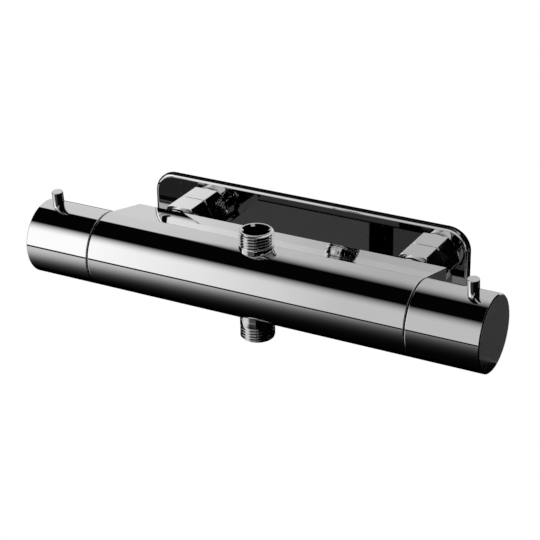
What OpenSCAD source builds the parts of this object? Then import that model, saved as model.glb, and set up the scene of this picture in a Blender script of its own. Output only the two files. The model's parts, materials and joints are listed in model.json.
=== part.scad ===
// Thermostatic shower valve: a round bar with a handle at each end, two union nuts
// and a wall plate behind it, and a threaded outlet on top and below.
// X runs along the bar, Y points to the wall, Z is up. The origin is the centre of
// the wall plate's back face.

/* [Bar] */
// Diameter of the body and of both handles
bar_d = 46; // [45:0.5:52]
// Length of the body between the two parting grooves
body_len = 208.8; // [205:0.2:230]
// Width of the groove between the body and a handle
parting_gap = 0.8; // [0.7:0.1:1.5]
// Distance from the bar's axis to the body's rear face
rear_depth = 37.9; // [37:0.1:44]
// Height of the body's rear edges above and below the axis
rear_edge_h = 15; // [14:0.5:17]
// Angle at which the sloping flats cut into the round front
blend_angle = 3; // [2:0.5:6]
// Chamfer on the body's outer edges
body_chamfer = 0.4; // [0.2:0.1:0.8]

/* [Handles] */
// Length of a handle
handle_len = 44.4; // [44:0.2:60]
// Wall of a handle's shell
handle_wall = 2.6; // [2.4:0.1:3]
// Chamfer round a handle's outer end
handle_chamfer = 0.6; // [0.3:0.1:0.8]
// Thickness of the end cap
cap_t = 2.5; // [2:0.1:3]
// Wall left round the end cap
cap_rim = 1; // [0.9:0.1:1.3]
// Diameter of a lever pin
pin_d = 7; // [6:0.5:8]
// Height of a lever pin above the bar
pin_h = 10; // [8:0.5:14]
// Distance from a lever pin's axis to the handle's outer end
pin_inset = 12.3; // [11.5:0.1:13]
// Forward lean of both lever pins at rest, in degrees
pin_lean = 6; // [0:1:10]
// Turn of the temperature handle to its cold stop, in degrees
cold_turn = 200; // [150:5:210]
// Turn of the temperature handle to its hot stop, in degrees
hot_turn = 100; // [60:5:110]
// Turn of the flow handle from off to each outlet, in degrees
flow_turn = 90; // [60:5:120]

/* [Inlets] */
// Distance between the two inlets
inlet_spacing = 160; // [150:0.5:162]
// Diameter of the round collar behind the body
collar_d = 27; // [26:0.5:30]
// Space from the body's rear face to the union nut's flats
collar_len = 7.9; // [6:0.1:10]
// Length of the round shoulder in front of the union nut's flats
nut_shoulder_len = 2.2; // [1.5:0.1:2.5]
// Open groove between the collar and the nut's shoulder
collar_gap = 1.6; // [0.5:0.1:2]
// Size of the union nut across its flats
nut_flats = 28; // [28:0.5:32]
// Length of the union nut
nut_len = 16.4; // [16:0.1:20]
// Minor diameter of the union nut's thread
nut_thread_d = 24.376; // [24:0.002:25]

/* [Outlets] */
// Outside diameter of an outlet's thread
outlet_d = 20.955; // [20:0.005:21]
// Bore of an outlet
outlet_bore_d = 15; // [13:0.5:15.5]
// Pitch of the outlet thread
outlet_pitch = 1.814; // [1.5:0.002:2]
// Depth of the outlet thread
outlet_thread_depth = 1.162; // [0.8:0.002:1.2]
// Height of the top outlet's rim above the axis
top_reach = 33.2; // [32:0.2:40]
// Depth of the bottom outlet's rim below the axis
bottom_reach = 36; // [32:0.2:44]
// Length of thread on the top outlet
top_thread_len = 8.4; // [5:0.1:9]
// Length of thread on the bottom outlet
bottom_thread_len = 9; // [5:0.1:11]

/* [Wall plate] */
// Width of the wall plate
plate_w = 216; // [210:1:240]
// Height of the wall plate
plate_h = 56; // [52:1:70]
// Thickness of the wall plate
plate_t = 4; // [3.5:0.1:6]
// Radius of the wall plate's corners
plate_corner_r = 14; // [8:0.5:18]
// Radius that rounds the plate's front edge
plate_edge_r = 2.2; // [0.6:0.1:2.4]
// Diameter of the plate's two holes
plate_hole_d = 26.8; // [26.4:0.1:27.2]

/* [Fits] */
// Radial clearance of a piece seated in its own body
seat_gap = 0.05; // [0.03:0.01:0.1]
// Radial clearance of a shaft that turns or slides in a hole
run_gap = 0.06; // [0.04:0.01:0.1]
// Clearance between faces that pass each other
pass_gap = 0.3; // [0.25:0.05:0.4]

/* [Hidden] */
$fn = 96;

// How far a cut runs past the face it opens
over = 1;

// Places that several pieces share
bar_r = bar_d / 2;
half_body = body_len / 2;
inlet_x = inlet_spacing / 2;
plate_front = rear_depth + collar_len + nut_len + pass_gap;
axis_y = -(plate_front + plate_t);
handle_end = parting_gap + handle_len;

// Section of the body: each flat runs from the rear edge to the round front
flat_reach = bar_r * cos(blend_angle);
slope = asin(flat_reach / norm([rear_depth, rear_edge_h])) - atan2(rear_edge_h, rear_depth);
flat_start = [flat_reach * sin(slope), flat_reach * cos(slope)];

// Water ways in the body
cart_r = 16;
mouth_r = 17.2;
mouth_depth = 8;
channel_r = 4;
side_channel_z = 9;
cold_channel_r = 5;
cold_channel_wall = 4;
cold_channel_y = cart_r + cold_channel_wall + cold_channel_r;
inlet_port_r = 7;
outlet_web = 2;

// Thermostat places along the bar, measured outwards from the body's end face
hot_x = inlet_x - half_body;
port_pitch = 16.6;
cold_x = hot_x - port_pitch;
cart_tail = 20;
cart_end_x = cold_x - cart_tail;
cart_wall = 3.95;
cart_bore_r = cart_r - seat_gap - cart_wall;
head_t = 4;
head_x = -mouth_depth - head_t;
base_flange_t = 2;
base_flange_r = 7;
window_r = 2.8;
window_count = 6;

// Retaining nut, neck and stop ring, alike on both sides
neck_r = 8.5;
neck_out = 2;
hub_r = 13;
hub_len = 6;
stop_ring_r = 16.5;
stop_ring_t = 5.4;
stop_start = 1;
stop_spare = 1;

// Spindles
spindle_r = 6;
spindle_out = 2.6;
drive_r = 4.3;
drive_end = 22;
spline_count = 8;
spline_w = 1.2;
spline_h = 0.7;
spline_inset = 0.5;
screw_r = 2;
screw_len = 12;
screw_head_r = 4;
screw_head_t = 2.6;
screw_hex_r = 1.4;
screw_hex_depth = 1.4;

// Handle insert
shell_r = bar_r - handle_wall;
insert_r = shell_r - seat_gap;
insert_wall = 1.15;
insert_play = 0.5;
insert_start = parting_gap + insert_play;
insert_hub_r = 8.5;
insert_hub_start = 9;
web_t = 4;
web_start = drive_end - web_t / 2;
boss_half = 4.2;
boss_depth = 4;
stud_r = 2.2;
stud_len = 4.6;
pin_x = handle_end - pin_inset;
pin_pocket = 1.4;
pin_seat = bar_r - pin_pocket;
pin_tip_chamfer = 0.5;

// Slide of the thermostat: lead of the spindle's thread
screw_lead = 4;
thread_r = 5;
slide_out = screw_lead * cold_turn / 360;
play = 0.8;
pusher_wall = 1.7;
pusher_end_x = head_x - slide_out - play;
thread_engaged = 2.5;
thread_end_x = pusher_end_x - thread_engaged;
pusher_pocket_x = thread_end_x - slide_out - play;
pusher_start_x = pusher_pocket_x - pusher_wall;
shuttle_len = 10;
shuttle_x = (hot_x + cold_x) / 2 - shuttle_len / 2;
shuttle_end_x = shuttle_x + shuttle_len;
element_r = 6;
element_tip_r = 5;
element_clear = 5;
element_step = 3;
element_tip_x = cart_end_x + element_clear;
element_step_x = shuttle_x - element_step;
element_flange_r = 10.5;
element_flange_t = 1.5;
element_pin_r = 2;

// O-rings and coil springs
ring_wire_r = 0.85;
groove_w = 2.4;
groove_floor = 2 * ring_wire_r + seat_gap;
oring_share = [0.17, 0.57, 0.9];
coil_sides = 6;
coil_steps = 12;
return_wire = 1.2;
return_turns = 7;
return_r = 9.6;
overtravel_wire = 1;
overtravel_turns = 2;
overtravel_r = 8.6;

// Flow cartridge places along the bar
disc_r = 14;
flow_wall = 1.75;
flow_bore_r = cart_r - seat_gap - flow_wall;
flow_end_x = -52;
seal_t = 3;
seal_lip = 1.5;
fixed_t = 5;
moving_t = 4;
lap_gap = 0.05;
slot_depth = 2.2;
driver_t = 5;
driver_pin_r = 1.2;
driver_pin_len = 2;
driver_pin_at = 11;
fixed_x = flow_end_x + seal_t;
moving_x = fixed_x + fixed_t + lap_gap;
driver_x = moving_x + moving_t;

// Union: places measured from the body's rear face towards the wall
tail_plug_r = 11;
tail_plug_len = 7.5;
tail_bore_r = 7.3;
collar_chamfer = 0.6;
tail_neck_r = 10;
nut_front_t = 3;
nut_chamfer = 1.2;
nut_relief_r = 12.6;
snap_groove_r = 9.1;
snap_r = 11.6;
snap_t = 1.2;
tail_end_t = 1.2;
nut_start = collar_len;
shoulder_inset = 0.5;
shoulder_chamfer = 0.3;
shoulder_start = nut_start - nut_shoulder_len;
shoulder_r = nut_flats / 2 - shoulder_inset;
collar_end = shoulder_start - collar_gap;
snap_start = nut_start + nut_front_t + pass_gap;
tail_end = snap_start + snap_t + tail_end_t;
strainer_flange_t = 0.6;
strainer_flange_r = 9;
strainer_wall = 0.5;
strainer_depth = 4.5;
strainer_holes = 8;
strainer_hole_r = 0.9;
washer_t = 2;
washer_r = 11.9;
washer_bore_r = 7.5;
thread_start = tail_end + strainer_flange_t + washer_t + pass_gap;

// Check valve, in the bore of the inlet tail
check_len = 14;
check_start = -6;
check_wall = 1.05;
check_seat_t = 1.5;
check_seat_r = 4;
spider_t = 1.5;
spider_hub_r = 2.5;
spider_hub_lip = 0.4;
spider_arm_w = 1.4;
poppet_r = 5.2;
poppet_t = 1.2;
poppet_gap = 0.1;
stem_r = 1.5;
stem_out = 1;
check_wire = 0.5;
check_turns = 5;
check_coil_r = 3;
check_end = check_start + check_len;
check_r = tail_bore_r - seat_gap;
poppet_face = check_end - check_seat_t - poppet_gap;

// Outlets
outlet_r = outlet_d / 2;
outlet_sink = 1;
outlet_seat = sqrt(pow(bar_r, 2) - pow(outlet_r, 2)) - outlet_sink;
shank_r = 9.3;
shank_len = 7;
foot_inset = 0.2;
foot_r = outlet_r - foot_inset;
rim_chamfer = 0.8;
rim_inner_chamfer = 1.2;
crest_share = 0.3;
root_share = 0.15;

// Seal rings behind the wall plate
wall_seal_r = 21;
wall_seal_t = 1.5;
wall_seal_gap = 1;

// Steps in the plate's rounded front edge
edge_steps = 4;

// Cylinder along X between two places
module rod(from, to, r) {
    translate([from, 0, 0]) rotate([0, 90, 0]) cylinder(h = to - from, r = r);
}

// Tube along X between two places
module sleeve(from, to, r, bore_r) {
    difference() {
        rod(from, to, r);
        rod(from - over, to + over, bore_r);
    }
}

// Piece turned about X from points of [radius, place]
module turned(points) {
    rotate([0, 90, 0]) rotate_extrude() polygon(points);
}

// Piece turned about Y from points of [radius, place]
module turned_y(points) {
    rotate([-90, 0, 0]) rotate_extrude() polygon(points);
}

// Cylinder along Y between two places
module rod_y(from, to, r) {
    translate([0, from, 0]) rotate([-90, 0, 0]) cylinder(h = to - from, r = r);
}

// Frame on the bar's axis
module on_bar() {
    translate([0, axis_y, 0]) children();
}

// Frame at an end face of the body, with +X pointing outwards
module at_end(side) {
    translate([side * half_body, axis_y, 0]) {
        if (side > 0) children();
        else mirror([1, 0, 0]) children();
    }
}

// Frame on an inlet's axis, at the body's rear face
module at_inlet(side) {
    translate([side * inlet_x, axis_y + rear_depth, 0]) children();
}

// Ring sector about X, centred on an angle, for stops
module sector(from, to, r, bore_r, centre, width) {
    reach = 2 * r;
    intersection() {
        sleeve(from, to, r, bore_r);
        rotate([centre, 0, 0]) rotate([90, 0, 90]) translate([0, 0, from - over])
            linear_extrude(height = to - from + 2 * over)
                polygon([[0, 0], for (k = [-2 : 2])
                    reach * [-sin(k * width / 4), cos(k * width / 4)]]);
    }
}

// Round wire wound about X: rings of points and the faces between them
module coil(from, to, mean_r, wire, turns) {
    rings = ceil(turns * coil_steps);
    climb = to - from - wire;
    points = [for (i = [0 : rings], j = [0 : coil_sides - 1])
        let (turn = 360 * turns * i / rings, around = 360 * j / coil_sides,
             reach = mean_r + wire / 2 * cos(around))
        [from + wire / 2 + climb * i / rings + wire / 2 * sin(around),
         reach * cos(turn), reach * sin(turn)]];
    sides = [for (i = [0 : rings - 1], j = [0 : coil_sides - 1])
        let (a = i * coil_sides + j, b = i * coil_sides + (j + 1) % coil_sides)
        each [[a, b, b + coil_sides], [a, b + coil_sides, a + coil_sides]]];
    first = [for (j = [1 : coil_sides - 2]) [0, j + 1, j]];
    last = [for (j = [1 : coil_sides - 2]) rings * coil_sides * [1, 1, 1] + [0, j, j + 1]];
    polyhedron(points = points, faces = concat(sides, first, last));
}

// O-ring about X at a place, seated in a groove of a piece of the given radius
module oring(at, r) {
    rotate([0, 90, 0]) translate([0, 0, at]) rotate_extrude()
        translate([r - ring_wire_r, 0]) circle(r = ring_wire_r, $fn = 32);
}

// Groove for an O-ring about X
module groove(at, r) {
    sleeve(at - groove_w / 2, at + groove_w / 2, r + over, r - groove_floor);
}

// Splined stub about X that carries a handle insert; its splines end short of its tip
module splines(from, to, gap) {
    rod(from, to, drive_r + gap);
    for (k = [0 : spline_count - 1]) rotate([k * 360 / spline_count, 0, 0])
        translate([from, -spline_w / 2 - gap, 0])
            cube([to - spline_inset - from, spline_w + 2 * gap, drive_r + spline_h + gap]);
}

// Hexagonal bar about Y between two places, with flats above and below
module hexagon_y(from, to, flats) {
    translate([0, from, 0]) rotate([-90, 0, 0])
        cylinder(h = to - from, r = flats / 2 / cos(30), $fn = 6);
}

// Where a cartridge's O-rings sit between two places
function oring_place(from, to, share) = from + (to - from) * share;

// Body casting: round front, two sloping flats and a flat rear face
module body_block() {
    turned([
        [0, -half_body], [bar_r - body_chamfer, -half_body],
        [bar_r, -half_body + body_chamfer], [bar_r, half_body - body_chamfer],
        [bar_r - body_chamfer, half_body], [0, half_body]
    ]);
    edge = [rear_depth, rear_edge_h];
    up = [edge[0] - body_chamfer, edge[1] + body_chamfer * tan(slope)];
    in = [edge[0], edge[1] - body_chamfer];
    rotate([90, 0, 90]) translate([0, 0, -half_body]) linear_extrude(height = body_len)
        polygon([
            flat_start, up, in, [in[0], -in[1]], [up[0], -up[1]],
            [flat_start[0], -flat_start[1]]
        ]);
}

// Cuts for an outlet, drawn upwards: threaded seat and water way
module outlet_cut() {
    floor_z = channel_r + outlet_web;
    translate([0, 0, outlet_seat]) cylinder(h = bar_r, r = foot_r + seat_gap);
    translate([0, 0, outlet_seat - shank_len]) cylinder(h = bar_r, r = shank_r + seat_gap);
    translate([0, 0, floor_z]) cylinder(h = bar_r, r = outlet_bore_d / 2);
    translate([0, 0, side_channel_z])
        rod(0, half_body + flow_end_x + over, channel_r);
}

module mixer_body() {
    cold_port_x = -half_body - cold_x;
    color("#33363a") on_bar() difference() {
        body_block();
        for (side = [-1, 1]) {
            translate([side * half_body, 0, 0])
                rod(-mouth_depth, mouth_depth, mouth_r + seat_gap);
            translate([side * inlet_x, 0, 0])
                rod_y(rear_depth - tail_plug_len, rear_depth + over, tail_plug_r + seat_gap);
        }
        rod(-half_body - over, -half_body - cart_end_x, cart_r);
        rod(half_body + flow_end_x, half_body + over, cart_r);
        rod(-half_body - cart_end_x - over, half_body + flow_end_x + over, channel_r);
        outlet_cut();
        mirror([0, 0, 1]) outlet_cut();
        translate([-inlet_x, 0, 0])
            rod_y(cart_r - over, rear_depth, inlet_port_r);
        translate([inlet_x, 0, 0])
            rod_y(cold_channel_y, rear_depth, inlet_port_r);
        translate([0, cold_channel_y, 0])
            rod(cold_port_x - cold_channel_r, inlet_x, cold_channel_r);
        translate([cold_port_x, 0, 0])
            rod_y(cart_r - over, cold_channel_y, channel_r);
    }
}

// Outlet nipple, drawn upwards; its foot is a little slimmer than the thread's plain start
module outlet(reach, thread_len) {
    starts = floor((thread_len - rim_chamfer) / outlet_pitch);
    first = reach - rim_chamfer - starts * outlet_pitch;
    land_start = min(bar_r + pass_gap, first);
    root = outlet_r - outlet_thread_depth;
    crest_half = outlet_pitch * crest_share / 2;
    root_half = outlet_pitch * root_share / 2;
    grooves = [for (k = [0 : starts - 1])
        let (mid = first + (k + 0.5) * outlet_pitch)
        each [[outlet_r, mid - outlet_pitch / 2 + crest_half], [root, mid - root_half],
              [root, mid + root_half], [outlet_r, mid + outlet_pitch / 2 - crest_half]]];
    rotate_extrude() polygon(concat(
        [[outlet_bore_d / 2, outlet_seat - shank_len], [shank_r, outlet_seat - shank_len],
         [shank_r, outlet_seat], [foot_r, outlet_seat],
         [foot_r, land_start], [outlet_r, land_start]],
        grooves,
        [[outlet_r, reach - rim_chamfer], [outlet_r - rim_chamfer, reach],
         [outlet_bore_d / 2 + rim_inner_chamfer, reach],
         [outlet_bore_d / 2, reach - rim_inner_chamfer]]
    ));
}

module top_outlet() {
    color("#5a5d61") on_bar() outlet(top_reach, top_thread_len);
}

module bottom_outlet() {
    color("#5a5d61") on_bar() mirror([0, 0, 1]) outlet(bottom_reach, bottom_thread_len);
}

// Rounded rectangle in the XZ plane, from one place in Y to another
module plate_slab(from, to) {
    half_w = plate_w / 2;
    half_h = plate_h / 2;
    r = plate_corner_r;
    translate([-half_w, from, -half_h + r]) cube([2 * half_w, to - from, 2 * (half_h - r)]);
    translate([-half_w + r, from, -half_h]) cube([2 * (half_w - r), to - from, 2 * half_h]);
    for (x = [-1, 1], z = [-1, 1])
        translate([x * (half_w - r), 0, z * (half_h - r)]) rod_y(from, to, r);
}

// Points of the rounded front edge, [reach, place in Y], for an edge at the given reach
function edge_points(reach) = [for (k = [0 : edge_steps])
    let (turn = 90 * k / edge_steps)
    [reach - plate_edge_r * (1 - sin(turn)), -plate_t + plate_edge_r * (1 - cos(turn))]];

// Front edge of the plate: a turned corner at each end of the long and the short sides
module plate_rim() {
    r = plate_corner_r;
    at_x = plate_w / 2 - r;
    at_z = plate_h / 2 - r;
    side = edge_points(plate_w / 2);
    top = edge_points(plate_h / 2);
    for (x = [-1, 1], z = [-1, 1]) translate([x * at_x, 0, z * at_z])
        turned_y(concat([[0, -plate_t]], edge_points(r), [[0, -plate_t + plate_edge_r]]));
    rotate([90, 0, 90]) translate([0, 0, -at_x]) linear_extrude(height = 2 * at_x)
        polygon(concat(
            [for (k = [0 : edge_steps]) [top[k][1], top[k][0]]],
            [for (k = [edge_steps : -1 : 0]) [top[k][1], -top[k][0]]]
        ));
    translate([0, 0, -at_z]) linear_extrude(height = 2 * at_z)
        polygon(concat(side, [for (k = [edge_steps : -1 : 0]) [-side[k][0], side[k][1]]]));
}

module wall_plate() {
    color("#2e3033") difference() {
        union() {
            plate_slab(-plate_t + plate_edge_r, 0);
            plate_rim();
        }
        for (side = [-1, 1]) translate([side * inlet_x, 0, 0]) {
            rod_y(-plate_t - over, over, plate_hole_d / 2);
            rod_y(-wall_seal_t, over, wall_seal_r + seat_gap);
        }
    }
}

module wall_seals() {
    color("#202020") for (side = [-1, 1]) translate([side * inlet_x, 0, 0]) difference() {
        rod_y(-wall_seal_t, 0, wall_seal_r);
        rod_y(-wall_seal_t - over, over, plate_hole_d / 2 + wall_seal_gap);
    }
}

// Inlet tail: plug in the body, round collar, neck with a snap ring groove
module inlet_tail(side) {
    color("#5a5d61") at_inlet(side) turned_y([
        [tail_bore_r, -tail_plug_len], [tail_plug_r, -tail_plug_len], [tail_plug_r, 0],
        [collar_d / 2, 0], [collar_d / 2, collar_end - collar_chamfer],
        [collar_d / 2 - collar_chamfer, collar_end], [tail_neck_r, collar_end],
        [tail_neck_r, snap_start], [snap_groove_r, snap_start],
        [snap_groove_r, snap_start + snap_t], [tail_neck_r, snap_start + snap_t],
        [tail_neck_r, tail_end], [tail_bore_r, tail_end]
    ]);
}

// Snap ring that keeps the union nut on its tail, open at the bottom
module snap_ring(side) {
    mouth = 4;
    color("#b9bcc0") at_inlet(side) difference() {
        turned_y([
            [snap_groove_r + seat_gap, snap_start + seat_gap], [snap_r, snap_start + seat_gap],
            [snap_r, snap_start + snap_t - seat_gap],
            [snap_groove_r + seat_gap, snap_start + snap_t - seat_gap]
        ]);
        translate([-mouth / 2, snap_start - over, -snap_r - over])
            cube([mouth, snap_t + 2 * over, snap_r]);
    }
}

module washer(side) {
    start = tail_end + strainer_flange_t;
    color("#1c1c1c") at_inlet(side) turned_y([
        [washer_bore_r, start], [washer_r, start],
        [washer_r, start + washer_t], [washer_bore_r, start + washer_t]
    ]);
}

// Cup strainer hung in the mouth of the tail
module strainer(side) {
    cup_r = tail_bore_r - seat_gap;
    color("#c9cbce") at_inlet(side) difference() {
        turned_y([
            [0, tail_end - strainer_depth], [cup_r, tail_end - strainer_depth],
            [cup_r, tail_end], [strainer_flange_r, tail_end],
            [strainer_flange_r, tail_end + strainer_flange_t],
            [cup_r - strainer_wall, tail_end + strainer_flange_t],
            [cup_r - strainer_wall, tail_end - strainer_depth + strainer_wall],
            [0, tail_end - strainer_depth + strainer_wall]
        ]);
        for (k = [0 : strainer_holes - 1]) rotate([0, k * 360 / strainer_holes, 0])
            translate([cup_r - 2 * strainer_wall - strainer_hole_r, 0, 0])
                rod_y(tail_end - strainer_depth - over, tail_end, strainer_hole_r);
    }
}

// Check valve's housing: seat at the wall side, guide at the body side
module check_housing(side) {
    color("#e6e3d8") at_inlet(side) {
        turned_y([
            [check_r - check_wall, check_start], [check_r, check_start], [check_r, check_end],
            [check_seat_r, check_end], [check_seat_r, check_end - check_seat_t],
            [check_r - check_wall, check_end - check_seat_t]
        ]);
        difference() {
            union() {
                rod_y(check_start, check_start + spider_t + spider_hub_lip, spider_hub_r);
                for (k = [0 : 2]) rotate([0, 120 * k, 0])
                    translate([0, check_start, -spider_arm_w / 2])
                        cube([check_r - check_wall / 2, spider_t, spider_arm_w]);
            }
            rod_y(check_start - over, check_start + spider_t + spider_hub_lip + over,
                stem_r + run_gap);
        }
    }
}

module poppet(side) {
    color("#d8402c") at_inlet(side) turned_y([
        [0, check_start - stem_out], [stem_r, check_start - stem_out],
        [stem_r, poppet_face - poppet_t], [poppet_r, poppet_face - poppet_t],
        [poppet_r, poppet_face - poppet_t / 2], [check_seat_r, poppet_face], [0, poppet_face]
    ]);
}

module check_spring(side) {
    color("#c9cbce") at_inlet(side) rotate([0, 0, 90])
        coil(check_start + spider_t, poppet_face - poppet_t, check_coil_r, check_wire,
            check_turns);
}

// Union nut: hexagon with both ends chamfered, thread towards the wall
module union_nut(side) {
    nut_end = nut_start + nut_len;
    corner_r = nut_flats / 2 / cos(30);
    color("#5a5d61") at_inlet(side) difference() {
        union() {
            intersection() {
                hexagon_y(nut_start, nut_end, nut_flats);
                turned_y([
                    [0, nut_start], [corner_r - nut_chamfer / 2, nut_start],
                    [corner_r, nut_start + nut_chamfer / 4], [corner_r, nut_end - nut_chamfer / 2],
                    [corner_r - nut_chamfer, nut_end], [0, nut_end]
                ]);
            }
            turned_y([
                [0, shoulder_start], [shoulder_r - shoulder_chamfer, shoulder_start],
                [shoulder_r, shoulder_start + shoulder_chamfer], [shoulder_r, nut_start + over],
                [0, nut_start + over]
            ]);
        }
        rod_y(shoulder_start - over, nut_end + over, tail_neck_r + run_gap);
        rod_y(nut_start + nut_front_t, thread_start, nut_relief_r);
        rod_y(thread_start - over, nut_end + over, nut_thread_d / 2);
    }
}

// Plastic ring that the handle turns on, in the parting groove
module glide_ring(side) {
    ring_inset = 0.7;
    color("#141414") at_end(side)
        sleeve(0, parting_gap - pass_gap, bar_r - ring_inset, mouth_r + ring_inset);
}

// Cartridge housing: tube with windows, closed head and neck
module thermostat_housing() {
    housing_r = cart_r - seat_gap;
    color("#d9c27a") at_end(-1) difference() {
        turned([
            [base_flange_r, cart_end_x], [housing_r, cart_end_x], [housing_r, -mouth_depth],
            [neck_r, -mouth_depth], [neck_r, neck_out], [spindle_r + run_gap, neck_out],
            [spindle_r + run_gap, head_x], [cart_bore_r, head_x],
            [cart_bore_r, cart_end_x + base_flange_t], [base_flange_r, cart_end_x + base_flange_t]
        ]);
        for (at = [hot_x, cold_x], k = [0 : window_count - 1])
            translate([at, 0, 0]) rotate([k * 360 / window_count + 90, 0, 0])
                cylinder(h = cart_r + over, r = window_r);
        for (share = oring_share)
            groove(oring_place(-mouth_depth, cart_end_x, share), housing_r);
    }
}

module thermostat_orings() {
    color("#1c1c1c") at_end(-1) for (share = oring_share)
        oring(oring_place(-mouth_depth, cart_end_x, share), cart_r - seat_gap);
}

// Threaded ring that holds a cartridge in the body
module retaining_nut(side) {
    color("#b5a264") at_end(side) turned([
        [neck_r + seat_gap, -mouth_depth], [mouth_r, -mouth_depth], [mouth_r, 0],
        [hub_r, 0], [hub_r, hub_len], [neck_r + seat_gap, hub_len]
    ]);
}

// Stop ring on the retaining nut's hub, with one lug
module stop_ring(side, up_turn, down_turn) {
    middle = up_turn + (360 - up_turn - down_turn) / 2 + pin_lean;
    width = (360 - up_turn - down_turn) / 2 - 2 * stop_spare;
    color("#e8e8e4") at_end(side) {
        sleeve(0, stop_ring_t, stop_ring_r, hub_r + seat_gap);
        sector(stop_start, stop_ring_t, shell_r - insert_wall - pass_gap - seat_gap,
            stop_ring_r - seat_gap, middle, width);
    }
}

// Spindle with its spline and the screw's hole; the inner end is drawn by each cartridge
module spindle_shaft(from) {
    difference() {
        union() {
            rod(from, spindle_out, spindle_r);
            splines(spindle_out, drive_end, 0);
        }
        rod(drive_end - screw_len + web_t / 2 - over, drive_end + over, screw_r + seat_gap);
        groove(-mouth_depth / 2, spindle_r);
    }
}

module thermostat_spindle() {
    color("#c9a94f") at_end(-1) {
        spindle_shaft(head_x);
        rod(thread_end_x, head_x, thread_r);
    }
}

module spindle_oring(side) {
    color("#1c1c1c") at_end(side) oring(-mouth_depth / 2, spindle_r);
}

// Nut that the spindle screws in and out, which sets the element's place
module pusher() {
    color("#8f9398") at_end(-1) difference() {
        rod(pusher_start_x, pusher_end_x, cart_bore_r - run_gap);
        rod(pusher_pocket_x, pusher_end_x + over, thread_r + run_gap);
    }
}

module overtravel_spring() {
    color("#c9cbce") at_end(-1)
        coil(shuttle_end_x + element_flange_t, pusher_start_x, overtravel_r,
            overtravel_wire, overtravel_turns);
}

module wax_element() {
    color("#c07a3a") at_end(-1) turned([
        [0, element_tip_x], [element_tip_r, element_tip_x], [element_tip_r, element_step_x],
        [element_r, element_step_x], [element_r, shuttle_end_x],
        [element_flange_r, shuttle_end_x], [element_flange_r, shuttle_end_x + element_flange_t],
        [element_pin_r, shuttle_end_x + element_flange_t],
        [element_pin_r, pusher_start_x], [0, pusher_start_x]
    ]);
}

// Shuttle that opens one row of windows as it closes the other
module shuttle() {
    hole_r = 1.6;
    hole_at = (element_r + cart_bore_r) / 2;
    color("#e6e3d8") at_end(-1) difference() {
        sleeve(shuttle_x, shuttle_end_x, cart_bore_r - run_gap, element_r + seat_gap);
        for (k = [0 : window_count - 1]) rotate([k * 360 / window_count, 0, 0])
            translate([0, hole_at, 0]) rod(shuttle_x - over, shuttle_end_x + over, hole_r);
    }
}

module return_spring() {
    color("#c9cbce") at_end(-1)
        coil(cart_end_x + base_flange_t, shuttle_x, return_r, return_wire, return_turns);
}

// Handle shell: tube with a seat for the cap and a pocket for the lever pin
module handle_shell(side) {
    color("#33363a") at_end(side) difference() {
        turned([
            [shell_r, parting_gap], [bar_r - body_chamfer, parting_gap],
            [bar_r, parting_gap + body_chamfer], [bar_r, handle_end - handle_chamfer],
            [bar_r - handle_chamfer, handle_end], [bar_r - cap_rim, handle_end],
            [bar_r - cap_rim, handle_end - cap_t], [shell_r, handle_end - cap_t]
        ]);
        rotate([pin_lean, 0, 0]) translate([pin_x, 0, 0]) {
            translate([0, 0, pin_seat]) cylinder(h = bar_r, r = pin_d / 2 + seat_gap);
            cylinder(h = bar_r, r = stud_r + seat_gap);
        }
    }
}

// End cap with a short skirt inside the shell
module handle_cap(side) {
    skirt = 2;
    skirt_wall = 1.2;
    color("#3d3f42") at_end(side) turned([
        [0, handle_end - cap_t], [shell_r - seat_gap - skirt_wall, handle_end - cap_t],
        [shell_r - seat_gap - skirt_wall, handle_end - cap_t - skirt],
        [shell_r - seat_gap, handle_end - cap_t - skirt],
        [shell_r - seat_gap, handle_end - cap_t],
        [bar_r - cap_rim - seat_gap, handle_end - cap_t],
        [bar_r - cap_rim - seat_gap, handle_end], [0, handle_end]
    ]);
}

// Lever pin with a threaded stud
module lever_pin(side) {
    tip = bar_r + pin_h;
    color("#5a5d61") at_end(side) rotate([pin_lean, 0, 0]) translate([pin_x, 0, 0])
        rotate_extrude() polygon([
            [0, pin_seat - stud_len], [stud_r, pin_seat - stud_len], [stud_r, pin_seat],
            [pin_d / 2, pin_seat], [pin_d / 2, tip - pin_tip_chamfer],
            [pin_d / 2 - pin_tip_chamfer, tip], [0, tip]
        ]);
}

// Insert: skirt with the moving stop lug, web with a splined hub, boss for the pin
module handle_insert(side, up_turn, down_turn) {
    width = (360 - up_turn - down_turn) / 2 - 2 * stop_spare;
    inner = insert_r - insert_wall;
    insert_end = pin_x + boss_half;
    color("#26282b") at_end(side) difference() {
        union() {
            sleeve(insert_start, insert_end, insert_r, inner);
            sleeve(pin_x - boss_half, insert_end, insert_r, insert_r - boss_depth);
            rod(web_start, web_start + web_t, insert_r - insert_wall / 2);
            rod(insert_hub_start, web_start + over, insert_hub_r);
            sector(insert_start, stop_ring_t, insert_r - insert_wall / 2,
                stop_ring_r + pass_gap, pin_lean, width);
        }
        splines(insert_hub_start - over, drive_end + seat_gap, seat_gap);
        rod(insert_hub_start - over, web_start + web_t + over, screw_r + seat_gap);
        rotate([pin_lean, 0, 0]) translate([pin_x, 0, 0])
            cylinder(h = bar_r, r = stud_r + seat_gap);
    }
}

// Screw that holds the insert on the spindle
module handle_screw(side) {
    seat = web_start + web_t;
    color("#c9cbce") at_end(side) difference() {
        union() {
            rod(seat, seat + screw_head_t, screw_head_r);
            rod(seat - screw_len, seat + over, screw_r);
        }
        translate([seat + screw_head_t - screw_hex_depth, 0, 0]) rotate([0, 90, 0])
            cylinder(h = screw_hex_depth + over, r = screw_hex_r, $fn = 6);
    }
}

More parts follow.
